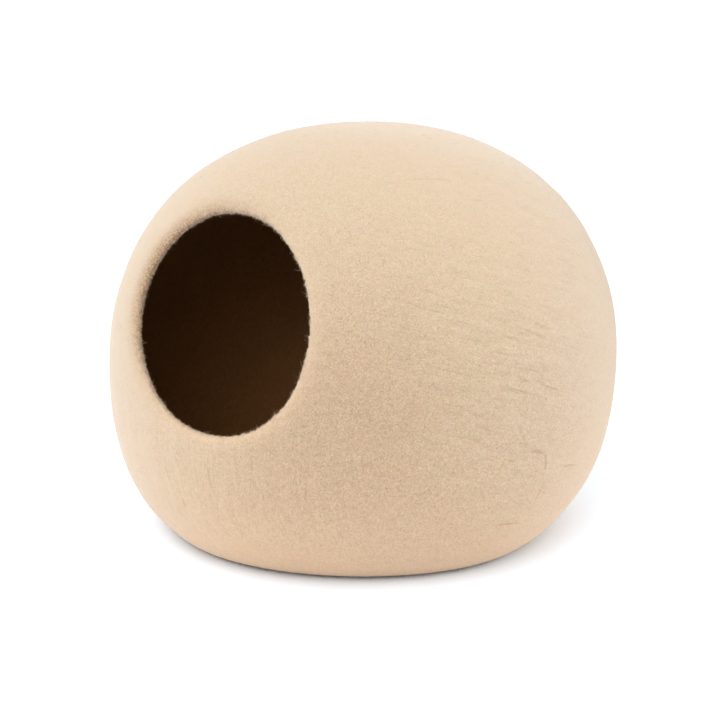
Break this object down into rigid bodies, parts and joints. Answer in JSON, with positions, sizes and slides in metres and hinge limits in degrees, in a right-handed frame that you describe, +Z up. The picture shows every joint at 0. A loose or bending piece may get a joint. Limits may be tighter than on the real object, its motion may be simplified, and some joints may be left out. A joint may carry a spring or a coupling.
{
  "type": "felt cat cave",
  "caption": "Egg-shaped cat cave of thick cream wool felt, made in one seamless piece with a round mouth in its front wall.",
  "frame": {"origin": "on the floor, under the middle of the cave's plan", "axes": "+Z up; -Y out of the mouth; +X to the right of someone who looks into the mouth"},
  "size_m": [0.4578, 0.469, 0.3659],
  "materials": {
    "cream_wool_felt": "matt, fuzzy wet-felted wool, cream outside and dark brown inside"
  },
  "bodies": {
    "root": {"felt_shell": "cream_wool_felt"}
  },
  "joints": []
}
